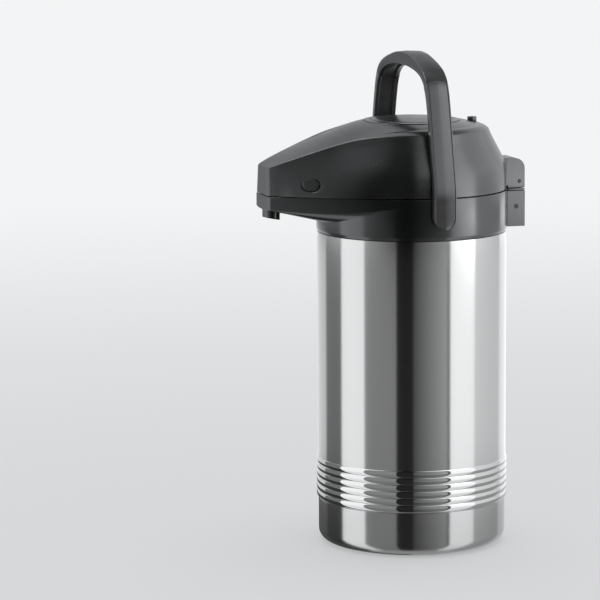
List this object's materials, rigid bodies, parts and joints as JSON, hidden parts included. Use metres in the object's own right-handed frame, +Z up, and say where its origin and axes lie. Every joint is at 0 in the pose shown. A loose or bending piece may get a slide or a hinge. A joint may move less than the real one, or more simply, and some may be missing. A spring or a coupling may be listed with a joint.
{
  "type": "pump airpot",
  "caption": "Vacuum airpot with a steel body, glass liner, hinged pump lid with a spout beak and a swinging carrying handle.",
  "frame": {"origin": "on the body's axis at the resting plane, in the flat face of the grip bar under the base", "axes": "+Z up, spout towards -Y, lid hinge towards +Y, handle pivots along X"},
  "size_m": [0.185, 0.2353, 0.4303],
  "materials": {
    "steel": "brushed round the body",
    "fixings": "bright",
    "dark_plastic": "satin",
    "handle_plastic": "satin",
    "base_plastic": "matt",
    "inner_plastic": "satin",
    "soft_rubber": "matt",
    "liner_glass": "silvered inside"
  },
  "bodies": {
    "pot": {"body_sleeve": "steel", "base_cup": "steel", "base_ring": "base_plastic", "base_screw_cap": "base_plastic", "liner_cushion": "soft_rubber", "vacuum_flask": "liner_glass", "flask_seal_tip": "liner_glass", "mouth_gasket": "soft_rubber", "collar": "dark_plastic", "mouth_ring": "inner_plastic", "riser_tube": "fixings", "riser_seal": "soft_rubber", "pipe_elbow": "inner_plastic", "spout_pipe": "inner_plastic", "nozzle": "dark_plastic", "hinge_bracket": "dark_plastic", "bracket_screws": "fixings", "hinge_pin": "fixings"},
    "lid": {"lid_shell": "dark_plastic", "lid_plate": "inner_plastic", "lid_seal": "soft_rubber", "lid_screws": "fixings", "bellows_clamp": "inner_plastic", "bellows": "soft_rubber", "pump_spring": "fixings"},
    "button": {"pump_button": "dark_plastic"},
    "valve": {"air_valve": "soft_rubber"},
    "lock": {"lock_knob": "dark_plastic", "lock_cam": "inner_plastic"},
    "release_left": {"release_button_left": "dark_plastic"},
    "release_right": {"release_button_right": "dark_plastic"},
    "handle": {"handle_leg_left": "handle_plastic", "handle_leg_right": "handle_plastic", "handle_grip": "handle_plastic"}
  },
  "joints": [
    {"name": "lid_hinge", "type": "hinge", "parent": "pot", "child": "lid", "pos_m": [0, 0.0947, 0.3148], "axis": [-1, 0, 0], "range_deg": [0, 2.5]},
    {"name": "handle_swing", "type": "hinge", "parent": "pot", "child": "handle", "pos_m": [0, 0, 0.2955], "axis": [-1, 0, 0], "range_deg": [0, 130]},
    {"name": "pump_slide", "type": "slide", "parent": "lid", "child": "button", "axis": [0, 0, -1], "range_m": [0, 0.026], "stiffness_N_per_m": 400, "springref_m": -0.012, "deforming": ["bellows", "pump_spring"]},
    {"name": "valve_lift", "type": "slide", "parent": "lid", "child": "valve", "axis": [0, 0, -1], "range_m": [0, 0.0018], "stiffness_N_per_m": 60, "springref_m": -0.002},
    {"name": "lock_turn", "type": "hinge", "parent": "lid", "child": "lock", "pos_m": [0, 0.0555, 0.366], "axis": [0, 0, -1], "range_deg": [0, 90]},
    {"name": "release_left_press", "type": "slide", "parent": "lid", "child": "release_left", "axis": [0.8339, 0.552, 0], "range_m": [0, 0.003], "stiffness_N_per_m": 500, "springref_m": -0.003},
    {"name": "release_right_press", "type": "slide", "parent": "lid", "child": "release_right", "axis": [-0.8339, 0.552, 0], "range_m": [0, 0.003], "stiffness_N_per_m": 500, "springref_m": -0.003}
  ]
}
